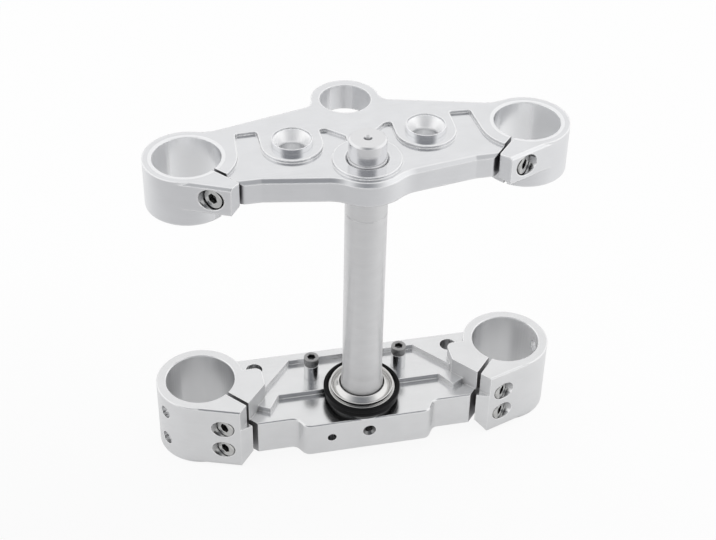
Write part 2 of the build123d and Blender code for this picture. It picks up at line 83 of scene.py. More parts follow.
class Value:
    """A number on a shader socket, on which Python arithmetic adds Math nodes."""

    def __init__(self, graph: "Graph", socket: bpy.types.NodeSocket) -> None:
        """Wrap an output socket of a graph's node."""
        self.graph = graph
        self.socket = socket

    def math(self, operation: str, *others: "Value | float") -> "Value":
        """Add a Math node with this value as its first input.

        Args:
            operation: name of the Math node's operation.
            others: values or numbers for the other inputs.

        Returns:
            The node's result.
        """
        inputs = {index + 1: other for index, other in enumerate(others)}
        return self.graph.value("ShaderNodeMath", {"operation": operation}, {0: self, **inputs})

    def swapped(self, operation: str, first: float) -> "Value":
        """Math node with a number first and this value second."""
        return self.graph.value("ShaderNodeMath", {"operation": operation}, {0: first, 1: self})

    def __add__(self, other: "Value | float") -> "Value":
        """Sum."""
        return self.math("ADD", other)

    __radd__ = __add__

    def __sub__(self, other: "Value | float") -> "Value":
        """Difference."""
        return self.math("SUBTRACT", other)

    def __rsub__(self, other: float) -> "Value":
        """Difference from a number."""
        return self.swapped("SUBTRACT", other)

    def __mul__(self, other: "Value | float") -> "Value":
        """Product."""
        return self.math("MULTIPLY", other)

    __rmul__ = __mul__

    def __truediv__(self, other: "Value | float") -> "Value":
        """Quotient."""
        return self.math("DIVIDE", other)

    def __rtruediv__(self, other: float) -> "Value":
        """Quotient of a number by this value."""
        return self.swapped("DIVIDE", other)

    def __pow__(self, other: "Value | float") -> "Value":
        """Power."""
        return self.math("POWER", other)

    def size(self) -> "Value":
        """Absolute value."""
        return self.math("ABSOLUTE")

    def sign(self) -> "Value":
        """1, 0 or -1."""
        return self.math("SIGN")

    def most(self, other: "Value | float") -> "Value":
        """Larger of two values."""
        return self.math("MAXIMUM", other)

    def least(self, other: "Value | float") -> "Value":
        """Smaller of two values."""
        return self.math("MINIMUM", other)

    def ease(self, low: float, high: float) -> "Value":
        """Smooth step from 0 at low to 1 at high, where high may be the lesser number."""
        settings = {"interpolation_type": "SMOOTHSTEP"}
        return self.graph.value("ShaderNodeMapRange", settings, {0: self, 1: low, 2: high})

    def ease_mm(self, low: float, high: float) -> "Value":
        """Smooth step between two lengths in millimetres."""
        return self.ease(low * MM, high * MM)


class Graph:
    """The node tree of a material or the world."""

    def __init__(self, tree: bpy.types.NodeTree) -> None:
        """Empty the tree."""
        tree.nodes.clear()
        self.tree = tree

    def add(
        self, kind: str, settings: Settings | None = None, inputs: Inputs | None = None
    ) -> bpy.types.Node:
        """Add a node.

        Args:
            kind: the node's type name.
            settings: properties of the node, set first.
            inputs: numbers, colours, values or sockets for its input sockets, by name or index.

        Returns:
            The new node.
        """
        node = self.tree.nodes.new(kind)
        for name, setting in (settings or {}).items():
            setattr(node, name, setting)
        for key, given in (inputs or {}).items():
            socket = node.inputs[key]
            source = given.socket if isinstance(given, Value) else given
            if isinstance(source, bpy.types.NodeSocket):
                self.tree.links.new(source, socket)
            else:
                socket.default_value = source
        return node

    def value(self, kind: str, settings: Settings | None, inputs: Inputs, output: str | int = 0) -> Value:
        """Add a node and wrap one of its outputs as a number."""
        return Value(self, self.add(kind, settings, inputs).outputs[output])

    def blend(self, share: Value, first: object, second: object) -> bpy.types.NodeSocket:
        """Colour between two colours, by a share from 0 to 1."""
        node = self.add("ShaderNodeMix", {"data_type": "RGBA"}, {0: share, 6: first, 7: second})
        return node.outputs[2]

    def place(self) -> bpy.types.NodeSocket:
        """Object coordinates, in metres."""
        return self.add("ShaderNodeTexCoord").outputs["Object"]

    def parts(self, vector: bpy.types.NodeSocket) -> tuple[Value, Value, Value]:
        """X, Y and Z of a vector."""
        node = self.add("ShaderNodeSeparateXYZ", None, {0: vector})
        return Value(self, node.outputs[0]), Value(self, node.outputs[1]), Value(self, node.outputs[2])

    def spot(self) -> tuple[Value, Value, Value]:
        """X, Y and Z of the object coordinates."""
        return self.parts(self.place())

    def facing(self, normal: str = "True Normal") -> tuple[Value, Value, Value]:
        """X, Y and Z of a normal: the mesh's own, or the shaded one if Normal is named."""
        return self.parts(self.add("ShaderNodeNewGeometry").outputs[normal])

    def noise(self, vector: bpy.types.NodeSocket, scale: Triple | float, detail: float = 2.0) -> Value:
        """Noise that may be stretched along the axes.

        Args:
            vector: coordinates that it reads.
            scale: cells per metre along each axis, or one number for all three.
            detail: octaves.

        Returns:
            Noise from 0 to 1.
        """
        cells = scale if isinstance(scale, tuple) else (scale, scale, scale)
        stretched = self.add("ShaderNodeMapping", None, {"Vector": vector, "Scale": cells}).outputs[0]
        return self.value("ShaderNodeTexNoise", None, {"Vector": stretched, "Scale": 1.0, "Detail": detail})

    def rays(self, kind: str) -> Value:
        """1 for rays of a kind that the Light Path node names."""
        return Value(self, self.add("ShaderNodeLightPath").outputs[kind])


def span(first: Value, *others: Value) -> Value:
    """Length of a vector, from its parts.

    Args:
        first: the vector's first part.
        others: its other parts.

    Returns:
        The length.
    """
    total = first * first
    for part in others:
        total = total + part * part
    return total**0.5


def rgba(colour: Colour) -> tuple[float, float, float, float]:
    """Colour with full opacity."""
    return (*colour, 1.0)


@dataclass(frozen=True)
class Finish:
    """A surface: its colour and gloss, and the grain that each kind of finish adds.

    Attributes:
        name: the material's name.
        colour, roughness, metallic, specular: the plain surface.
        edge_mm: rounding of the edges in the shading.
        edge_highlight: how far a painted highlight makes the edges paler than the faces, from 0 to 1.
        grain_um: height of the marks.
        recess_shade_mm: depth from which painted shade darkens recesses, or 0 where none is painted.
        recess_shade: share of the colour that the painted shade leaves deep in a recess.
        streak: how far reflections are drawn out.
    """

    name: str
    colour: Colour
    roughness: float
    metallic: float = 1.0
    edge_mm: float = 0.35
    grain_um: float = 1.0
    specular: float = 0.5
    recess_shade_mm: float = 0.0
    recess_shade: float = 0.15
    edge_highlight: float = 0.0
    streak: float = 0.0

    def grain(self, graph: Graph) -> tuple[Value, Value]:
        """Height of the surface's marks and their share of tone, both from 0 to 1."""
        raise NotImplementedError

    def edge(self, graph: Graph) -> Value:
        """Find the edges, where a highlight is painted.

        Args:
            graph: the material's nodes.

        Returns:
            1 along the edges and 0 on the faces.
        """
        reach = EDGE_REACH * self.edge_mm * MM
        soft = graph.add("ShaderNodeBevel", {"samples": 4}, {"Radius": reach}).outputs[0]
        plain = graph.add("ShaderNodeNewGeometry").outputs["True Normal"]
        settings = {"operation": "DOT_PRODUCT"}
        alike = graph.value("ShaderNodeVectorMath", settings, {0: soft, 1: plain}, "Value")
        return (1.0 - alike).ease(*EDGE_BEND)

    def openness(self, graph: Graph) -> Value:
        """1 in the open and 0 deep in a recess, by which shade is painted into recesses."""
        inputs = {"Distance": self.recess_shade_mm * MM}
        return graph.value("ShaderNodeAmbientOcclusion", {"samples": 6}, inputs, "AO").ease(*RECESS_OPEN)

    def tint(self, graph: Graph, tone: Value) -> bpy.types.NodeSocket:
        """Colour the surface a little darker in the marks, with a painted highlight on the edges and painted
        shade in deep recesses.

        Args:
            graph: the material's nodes.
            tone: the marks' share of tone.

        Returns:
            The colour.
        """
        marked = tuple(MARK_TONE * c for c in self.colour)
        colour = graph.blend(tone.ease(*MARK_RANGE), rgba(marked), rgba(self.colour))
        # Painted highlight: the edges are made paler than the faces.
        if self.edge_highlight:
            highlit = tuple(c + self.edge_highlight * (1.0 - c) for c in self.colour)
            colour = graph.blend(self.edge(graph), colour, rgba(highlit))
        if not self.recess_shade_mm:
            return colour
        # Painted shade: the colour darkens deep in recesses.
        deep = tuple(self.recess_shade * c for c in self.colour)
        return graph.blend(self.openness(graph), rgba(deep), colour)

    def base_gloss(self, graph: Graph) -> Value | float:
        """Roughness before the marks change it."""
        return self.roughness

    def gloss(self, graph: Graph, tone: Value) -> Value:
        """Roughness over the surface, uneven with the marks."""
        return (GLOSS_LEAST + GLOSS_SPREAD * tone) * self.base_gloss(graph)

    def material(self) -> bpy.types.Material:
        """Build the node material.

        Returns:
            A material whose edges are softened and whose grain is a bump.
        """
        material = bpy.data.materials.new(self.name)
        material.use_nodes = True
        graph = Graph(material.node_tree)
        height, tone = self.grain(graph)
        edge = graph.add("ShaderNodeBevel", {"samples": 6}, {"Radius": self.edge_mm * MM})
        marks = {"Strength": 1.0, "Distance": self.grain_um * MICRON, "Height": height}
        bump = graph.add("ShaderNodeBump", None, {**marks, "Normal": edge.outputs[0]})
        surface = graph.add(
            "ShaderNodeBsdfPrincipled",
            None,
            {
                "Base Color": self.tint(graph, tone),
                "Metallic": self.metallic,
                "Roughness": self.gloss(graph, tone),
                "Specular IOR Level": self.specular,
                "Anisotropic": self.streak,
                "Anisotropic Rotation": STREAK_TURN,
                "Normal": bump.outputs[0],
            },
        )
        graph.add("ShaderNodeOutputMaterial", None, {"Surface": surface.outputs[0]})
        return material


@dataclass(frozen=True)
class PolishedAluminium(Finish):
    """Milled and polished: faint cutter lines on the flats, duller fork bores, and painted shade in the
    slits.

    Attributes:
        lines_per_m, flat_run, wall_run: cutter lines, across and along them.
        clouds_per_m: slow change of tone.
        bore_r: radius within which a wall belongs to a fork bore.
        slit_half, slit_start: half the slit's width, and how far inside bore_r it starts.
        mouth: reach of the slit's wide mouth, inboard of the slit.
        outboard: where the painted recess shade is lifted from the rings' outboard holes, sideways of the
            fork's axis.
        stem_gap, stem_open: radii that bound the gap round the stem, where the painted shade is lifted, and
            how far it is lifted.
        sawn, turned: painted shade on the walls of the slits and their mouths, and the colour of the bores.
    """

    lines_per_m: float = 2600.0
    flat_run: float = 60.0
    wall_run: float = 50.0
    clouds_per_m: float = 70.0
    bore_r: float = 23.0
    slit_half: float = 1.4
    slit_start: Point = (4.0, 3.0)
    mouth: float = 7.5
    outboard: Point = (12.0, 15.0)
    stem_gap: Point = (17.0, 16.0)
    stem_open: float = 0.75
    slit_shade: Colour = (0.5, 0.5, 0.51)
    turned: Colour = (0.88, 0.885, 0.895)
    wall_roughness: float = 0.24
    bore_roughness: float = 0.24
    inboard_roughness: float = 0.6
    sawn_roughness: float = 0.45

    def grain(self, graph: Graph) -> tuple[Value, Value]:
        """Draw long faint lines along X on the flats and level lines on the walls, with a cloudy tone.

        Args:
            graph: the material's nodes.

        Returns:
            Height and tone of the marks.
        """
        place = graph.place()
        flats = graph.noise(place, (self.flat_run, self.lines_per_m, self.flat_run), 3.0)
        walls = graph.noise(place, (self.wall_run, self.wall_run, self.lines_per_m), 3.0)
        cloud = graph.noise(place, self.clouds_per_m, 4.0)
        level = graph.facing()[2].size().ease(*LEVEL_FACE)
        lines = level * flats + (1.0 - level) * walls
        return lines, 0.5 * cloud + 0.5 * lines

    def fork(self, graph: Graph) -> tuple[Value, Value]:
        """Place sideways and forwards of the nearer fork's axis, outboard positive."""
        x, y, _ = graph.spot()
        return x.size() - FORK_X * MM, y - FORK_Y * MM

    def slit(self, graph: Graph) -> Value:
        """Find the slits.

        Args:
            graph: the material's nodes.

        Returns:
            1 on the walls of the slits and of their mouths.
        """
        side, ahead = self.fork(graph)
        x = graph.spot()[0]
        normal = graph.facing("Normal")
        sine, cosine = math.sin(math.radians(SLIT_TURN)), math.cos(math.radians(SLIT_TURN))
        along = -sine * side - cosine * ahead
        out = cosine * side - sine * ahead
        across = (cosine * normal[0] * x.sign() - sine * normal[1]).size()
        within = out.ease_mm(-self.mouth, 4 * HAIR - self.mouth)
        within = within * out.ease_mm(self.slit_half + 2 * HAIR, self.slit_half)
        within = within * along.ease_mm(self.bore_r - self.slit_start[0], self.bore_r - self.slit_start[1])
        return within * across.ease(0.75, 0.95)

    def openness(self, graph: Graph) -> Value:
        """Lift the painted recess shade from the fork rings' outboard holes and from the gap round the stem.

        Args:
            graph: the material's nodes.

        Returns:
            1 in the open and 0 deep in a recess.
        """
        side, _ = self.fork(graph)
        x, y, _ = graph.spot()
        middle = span(x, y).ease_mm(*self.stem_gap)
        return super().openness(graph).most(side.ease_mm(*self.outboard)).most(self.stem_open * middle)

    def bore(self, graph: Graph) -> Value:
        """1 on the walls of the fork bores."""
        return span(*self.fork(graph)).ease_mm(self.bore_r + 2 * HAIR, self.bore_r - 2 * HAIR)

    def tint(self, graph: Graph, tone: Value) -> bpy.types.NodeSocket:
        """Polished colour, with the turned bores' own and painted shade on the slits and their mouths."""
        colour = graph.blend(self.bore(graph), super().tint(graph, tone), rgba(self.turned))
        # Painted shade on the walls of the slits and their mouths.
        return graph.blend(self.slit(graph), colour, rgba(self.slit_shade))

    def base_gloss(self, graph: Graph) -> Value:
        """Make the walls, the fork bores, the inboard walls and the slits duller than the flats.

        Args:
            graph: the material's nodes.

        Returns:
            Roughness before the marks change it.
        """
        normal = graph.facing()
        wall = normal[2].size().ease(*UPRIGHT_WALL)
        base = self.roughness + (self.wall_roughness - self.roughness) * wall
        base = base.most(self.bore_roughness * self.bore(graph))
        inboard = (normal[0] * graph.spot()[0].sign()).ease(-0.3, -0.6) * wall
        return base.most(self.inboard_roughness * inboard).most(self.sawn_roughness * self.slit(graph))


@dataclass(frozen=True)
class LowerAluminium(PolishedAluminium):
    """Polished as the upper clamp, with painted shadow under the seal, painted shade in the nose's
    countersink and on the bores' ends, and a painted highlight on the pockets' slanted walls.

    Attributes:
        floor, shelf: heights between which the metal round the seal takes a painted shadow.
        seal_r, land_r: radii of the shadowed floor and of the shadowed wall.
        seal_shadow: how dark the painted shadow on that floor is.
        sink, sink_r, sink_shade: the nose's countersink, and how dark its painted shade is.
        nose_hole, nose_hole_r: X and Z of the nose's plain hole, which is kept free of painted shade.
        slant_from, slant_to, pale_highlight: the pockets' slanted walls, sideways of the stem, and the
            painted highlight on them and on the right bore's outboard end.
        bore_end_shade, bore_end_run: painted shade on the bores' sideways ends, and where the right one turns
            to the painted highlight outboard.
    """

    floor: float = 33.5
    shelf: float = SHELF
    seal_r: float = 25.2
    land_r: float = 22.6
    seal_shadow: float = 0.55
    sink: Triple = (1.0, -22.4, 22.5)
    sink_r: float = 5.4
    sink_shade: float = 0.85
    nose_hole: Point = (-24.3, 20.8)
    nose_hole_r: float = 3.1
    slant_from: float = 40.0
    slant_to: float = 63.0
    pale_highlight: Colour = (0.97, 0.97, 0.975)
    bore_end_shade: Colour = (0.64, 0.643, 0.65)
    bore_end_run: float = 8.0

    def slant(self, graph: Graph) -> Value:
        """Find the pockets' slanted walls.

        Args:
            graph: the material's nodes.

        Returns:
            1 on those walls, between the rail and the towers.
        """
        x, _, z = graph.spot()
        normal = graph.facing()
        inboard = (normal[0] * x.sign()).ease(-0.3, -0.5) * normal[2].size().ease(*UPRIGHT_WALL)
        beside = x.size().ease_mm(self.slant_from, self.slant_from + 1.0)
        beside = beside * x.size().ease_mm(self.slant_to + 1.0, self.slant_to)
        return inboard * beside * z.ease_mm(self.floor - 5 * HAIR, self.floor)

    def tint(self, graph: Graph, tone: Value) -> bpy.types.NodeSocket:
        """Colour as on the upper clamp, with painted shade on the bores' ends and a painted highlight on the
        pockets' slanted walls.

        Args:
            graph: the material's nodes.
            tone: the marks' share of tone.

        Returns:
            The colour.
        """
        # Painted shade on the bores' sideways ends, turning to a painted highlight outboard on the right
        # bore, and a painted highlight on the slanted walls.
        right = graph.spot()[0].ease_mm(FORK_X, FORK_X + self.bore_end_run)
        end_light_and_shade = graph.blend(right, rgba(self.bore_end_shade), rgba(self.pale_highlight))
        ends = self.bore(graph) * graph.facing()[0].size().ease(0.6, 0.97)
        colour = graph.blend(ends, super().tint(graph, tone), end_light_and_shade)
        return graph.blend(self.slant(graph), colour, rgba(self.pale_highlight))

    def seal_shadow_mask(self, graph: Graph) -> Value:
        """Find the metal in the seal's shade.

        Args:
            graph: the material's nodes.

        Returns:
            How dark the painted shadow is, from 0 to 1.
        """
        x, y, z = graph.spot()
        reach = span(x, y)
        level = reach.ease_mm(self.seal_r, self.seal_r - 1.0) * graph.facing()[2].ease(*LEVEL_FACE)
        under = (self.seal_shadow * level).most(reach.ease_mm(self.land_r + 3 * HAIR, self.land_r))
        under = under * z.ease_mm(self.shelf - HAIR, self.shelf - 3 * HAIR)
        return under * z.ease_mm(self.floor - 2 * HAIR, self.floor - HAIR)

    def openness(self, graph: Graph) -> Value:
        """Paint shade under the seal and in the countersink, and keep the nose's plain hole free of painted
        shade.

        Args:
            graph: the material's nodes.

        Returns:
            1 in the open and 0 deep in a recess.
        """
        x, y, z = graph.spot()
        # Painted shade in the countersink and under the seal; none in the nose's plain hole.
        reach = span(*(part - at * MM for part, at in zip((x, y, z), self.sink)))
        hole = reach.ease_mm(self.sink_r + 3 * HAIR, self.sink_r) * graph.facing()[1].ease(-0.97, -0.9)
        reach = span(x - self.nose_hole[0] * MM, z - self.nose_hole[1] * MM)
        bright = reach.ease_mm(self.nose_hole_r + HAIR, self.nose_hole_r)
        dull = super().openness(graph).least(1.0 - self.seal_shadow_mask(graph)).least(1.0 - self.sink_shade * hole)
        return dull.most(bright)


@dataclass(frozen=True)
class TurnedMetal(Finish):
    """Turned on a lathe: fine rings round an upright axis.

    Attributes:
        rings_per_m, ring_run: the rings, across and along them.
        clouds_per_m: slow change of tone along each axis.
    """

    rings_per_m: float = 4200.0
    ring_run: float = 25.0
    clouds_per_m: Triple = (90.0, 90.0, 160.0)

    def grain(self, graph: Graph) -> tuple[Value, Value]:
        """Draw fine rings, uneven in depth.

        Args:
            graph: the material's nodes.

        Returns:
            Height and tone of the marks.
        """
        place = graph.place()
        rings = graph.noise(place, (self.ring_run, self.ring_run, self.rings_per_m))
        cloud = graph.noise(place, self.clouds_per_m, 3.0)
        return rings, 0.6 * cloud + 0.4 * rings


@dataclass(frozen=True)
class StemAluminium(TurnedMetal):
    """Fine turned below and brighter on the spigot above the upper clamp.

    Attributes:
        spigot_from, spigot_roughness, spigot_colour: the spigot, from a height.
        centre_r, centre_soft, centre_shade: the centre hole in its end, and the painted shade in it.
        clear_of_race: heights between which the painted shade inside the race ends.
    """

    spigot_from: float = 226.0
    spigot_roughness: float = 0.16
    spigot_colour: Colour = (0.77, 0.77, 0.78)
    centre_r: float = 2.8
    centre_soft: float = 1.4
    centre_shade: Colour = (0.3, 0.3, 0.31)
    clear_of_race: Point = (60.0, 70.0)

    def spigot(self, graph: Graph) -> Value:
        """1 on the spigot."""
        return graph.spot()[2].ease_mm(self.spigot_from, self.spigot_from + 1.0)

    def tint(self, graph: Graph, tone: Value) -> bpy.types.NodeSocket:
        """Give the spigot another tone, with painted shade in its centre hole.

        Args:
            graph: the material's nodes.
            tone: the marks' share of tone.

        Returns:
            The colour.
        """
        x, y, _ = graph.spot()
        # Painted shade in the spigot's centre hole.
        hole = span(x, y).ease_mm(self.centre_r, self.centre_r - self.centre_soft)
        colour = graph.blend(self.spigot(graph), super().tint(graph, tone), rgba(self.spigot_colour))
        return graph.blend(hole, colour, rgba(self.centre_shade))

    def base_gloss(self, graph: Graph) -> Value:
        """Smoother on the spigot."""
        return self.roughness + (self.spigot_roughness - self.roughness) * self.spigot(graph)

    def openness(self, graph: Graph) -> Value:
        """Painted shade in the gap inside the race alone."""
        return super().openness(graph).most(graph.spot()[2].ease_mm(*self.clear_of_race))


@dataclass(frozen=True)
class CupAluminium(TurnedMetal):
    """Polished outside, with a satin cone.

    Attributes:
        cone_r: radius within which the cup is satin.
        cone_roughness, cone_colour: the satin cone.
    """

    cone_r: float = 11.6
    cone_roughness: float = 0.4
    cone_colour: Colour = (0.98, 0.98, 0.985)

    def reach(self, graph: Graph) -> Value:
        """Distance from the nearer cup's axis."""
        x, y, _ = graph.spot()
        return span(x.size() - CUP_X * MM, y - CUP_Y * MM)

    def inside(self, graph: Graph) -> Value:
        """1 in the cone and the bore."""
        return self.reach(graph).ease_mm(self.cone_r + 2 * HAIR, self.cone_r)

    def tint(self, graph: Graph, tone: Value) -> bpy.types.NodeSocket:
        """Paler in the cone than in the bore and outside."""
        cone = self.inside(graph) * self.reach(graph).ease_mm(CUP_BORE_R, CUP_BORE_R + 5 * HAIR)
        return graph.blend(cone, super().tint(graph, tone), rgba(self.cone_colour))

    def base_gloss(self, graph: Graph) -> Value:
        """Rougher in the cone and the bore."""
        return self.roughness + (self.cone_roughness - self.roughness) * self.inside(graph)


@dataclass(frozen=True)
class PlatedSteel(Finish):
    """Zinc plate over steel: a fine crystalline cloud.

    Attributes:
        speckles_per_m, clouds_per_m: the crystals, and a slow change of tone.
    """

    speckles_per_m: float = 2500.0
    clouds_per_m: float = 300.0

    def grain(self, graph: Graph) -> tuple[Value, Value]:
        """Spread fine speckle over a slow cloud.

        Args:
            graph: the material's nodes.

        Returns:
            Height and tone of the marks.
        """
        place = graph.place()
        speckle = graph.noise(place, self.speckles_per_m)
        cloud = graph.noise(place, self.clouds_per_m, 3.0)
        return speckle, 0.5 * cloud + 0.5 * speckle


@dataclass(frozen=True)
class MouldedRubber(Finish):
    """Matt black rubber with a fine moulded grain.

    Attributes:
        pebbles_per_m, blooms_per_m: the moulded grain, and a slow change of tone.
    """

    pebbles_per_m: float = 1800.0
    blooms_per_m: float = 120.0

    def grain(self, graph: Graph) -> tuple[Value, Value]:
        """Fine pebble and a slow bloom."""
        place = graph.place()
        return graph.noise(place, self.pebbles_per_m, 3.0), graph.noise(place, self.blooms_per_m, 3.0)


class Surface(Enum):
    """Finishes of the part, each with the record's material slot that it stands for."""

    UPPER = ("clamp_aluminium", "polished, soft edges")
    LOWER = ("clamp_aluminium", "polished, crisp edges")
    STEM = ("stem_aluminium", "fine turned")
    CUP = ("cup_aluminium", "bright turned")
    SLEEVE = ("sleeve_aluminium", "turned")
    RACE = ("race_steel", "ground")
    SCREW = ("screw_steel", "bright plated")
    BOLT = ("screw_steel", "dull plated")
    SEAL = ("seal_rubber", "moulded")

    @property
    def slot(self) -> str:
        """The record's material slot."""
        return self.value[0]


# The recess settings paint shade into each finish's recesses, and edge_highlight paints a highlight on the
# clamps' edges.
FINISHES: dict[Surface, Finish] = {
    Surface.UPPER: PolishedAluminium(
        "polished_aluminium",
        (0.80, 0.805, 0.82),
        0.14,
        edge_mm=1.1,
        recess_shade_mm=9.0,
        edge_highlight=0.9,
        slit_shade=(0.2, 0.2, 0.21),
    ),
    Surface.LOWER: LowerAluminium(
        "polished_crisp_aluminium",
        (0.80, 0.803, 0.81),
        0.21,
        edge_mm=0.7,
        recess_shade_mm=9.0,
        edge_highlight=0.9,
        turned=(0.82, 0.823, 0.83),
        bore_roughness=0.31,
    ),
    Surface.STEM: StemAluminium(
        "fine_turned_aluminium", (0.77, 0.77, 0.775), 0.42, edge_mm=0.5, recess_shade_mm=2.5, streak=0.75
    ),
    Surface.CUP: CupAluminium("turned_bright_aluminium", (0.88, 0.885, 0.895), 0.14, edge_mm=0.2),
    Surface.SLEEVE: TurnedMetal("turned_sleeve_aluminium", (0.74, 0.745, 0.75), 0.2, edge_mm=0.15),
    Surface.RACE: TurnedMetal(
        "ground_race_steel", (0.76, 0.755, 0.745), 0.2, edge_mm=0.15, recess_shade_mm=3.0, recess_shade=0.08
    ),
    Surface.SCREW: PlatedSteel(
        "plated_screw_steel", (0.58, 0.58, 0.57), 0.2, edge_mm=0.15, recess_shade_mm=9.0, recess_shade=0.05
    ),
    Surface.BOLT: PlatedSteel(
        "dull_bolt_steel", (0.34, 0.34, 0.34), 0.28, edge_mm=0.15, recess_shade_mm=6.0, recess_shade=0.05
    ),
    Surface.SEAL: MouldedRubber(
        "moulded_rubber", (0.004, 0.004, 0.0045), 0.45, metallic=0.0, edge_mm=0.2, grain_um=8.0, specular=0.12
    ),
}


class Paint:
    """The materials of the part, made once each."""

    def __init__(self) -> None:
        """Make a material for each surface."""
        self.materials = {surface: finish.material() for surface, finish in FINISHES.items()}

    def node(self, name: str, surface: Surface) -> None:
        """Give a CAD node its finish.

        Args:
            name: the node.
            surface: its surface.
        """
        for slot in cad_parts[name].material_slots:
            slot.material = self.materials[surface]
        LOG.info("dressed %s", name)

    def piece(self, bm: bmesh.types.BMesh, name: str, surface: Surface, node: str) -> None:
        """Make a new piece that stands for a CAD node and rides on the body.

        Args:
            bm: its shape in millimetres, in the shared frame; it is freed.
            name: name of the piece.
            surface: its surface.
            node: the CAD node that it replaces.
        """
        bmesh.ops.scale(bm, vec=(MM, MM, MM), verts=bm.verts)
        mesh = bpy.data.meshes.new(name)
        bm.to_mesh(mesh)
        bm.free()
        mesh.materials.append(self.materials[surface])
        mesh.shade_smooth()
        mesh.set_sharp_from_angle(angle=SHARP_ANGLE)
        piece = bpy.data.objects.new(name, mesh)
        bpy.context.scene.collection.objects.link(piece)
        shading = piece.modifiers.new("even_shading", "WEIGHTED_NORMAL")
        shading.keep_sharp = True
        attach(piece, BODY)
        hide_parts(node)
        LOG.info("made %s in place of %s, %d faces", name, node, len(mesh.polygons))


@dataclass
class Turning:
    """A ring or pin turned about the Z axis: a closed outline whose corners may be rounded.

    Attributes:
        outline: corners as radius and height in millimetres.
        rounds: how far each round reaches from its corner, by the corner's place in the outline.
        steps: faces round the axis.
        arcs: faces along each round.
    """

    outline: list[Point]
    rounds: dict[int, float] = field(default_factory=dict)
    steps: int = 96
    arcs: int = 4

    def build(self) -> bmesh.types.BMesh:
        """Spin the outline and round its corners.

        Returns:
            The shape in millimetres, on the Z axis.
        """
        bm = bmesh.new()
        corners = [bm.verts.new((radius, 0.0, height)) for radius, height in self.outline]
        sides = [bm.edges.new((corners[i - 1], corners[i])) for i in range(len(corners))]
        bmesh.ops.spin(
            bm,
            geom=corners + sides,
            cent=(0.0, 0.0, 0.0),
            axis=(0.0, 0.0, 1.0),
            dvec=(0.0, 0.0, 0.0),
            angle=math.tau,
            steps=self.steps,
            use_merge=True,
            use_normal_flip=False,
            use_duplicate=False,
        )
        bmesh.ops.remove_doubles(bm, verts=bm.verts, dist=MERGE)
        bmesh.ops.recalc_face_normals(bm, faces=bm.faces)
        for corner, reach in self.rounds.items():
            self.round(bm, self.outline[corner], reach)
        return bm

    def round(self, bm: bmesh.types.BMesh, corner: Point, reach: float) -> None:
        """Round the ring of edges at a corner.

        Args:
            bm: the spun shape.
            corner: radius and height of the corner.
            reach: how far the round reaches along both sides.
        """
        ring = [e for e in bm.edges if all(self.at(v, corner) for v in e.verts)]
        bmesh.ops.bevel(
            bm,
            geom=ring,
            offset=reach,
            offset_type="OFFSET",
            segments=self.arcs,
            profile=0.5,
            affect="EDGES",
            clamp_overlap=True,
            material=-1,
        )

    @staticmethod
    def at(vertex: bmesh.types.BMVert, corner: Point) -> bool:
        """Whether a vertex lies on a corner's ring."""
        off = (math.hypot(vertex.co.x, vertex.co.y) - corner[0], vertex.co.z - corner[1])
        return all(abs(part) < 10 * MERGE for part in off)


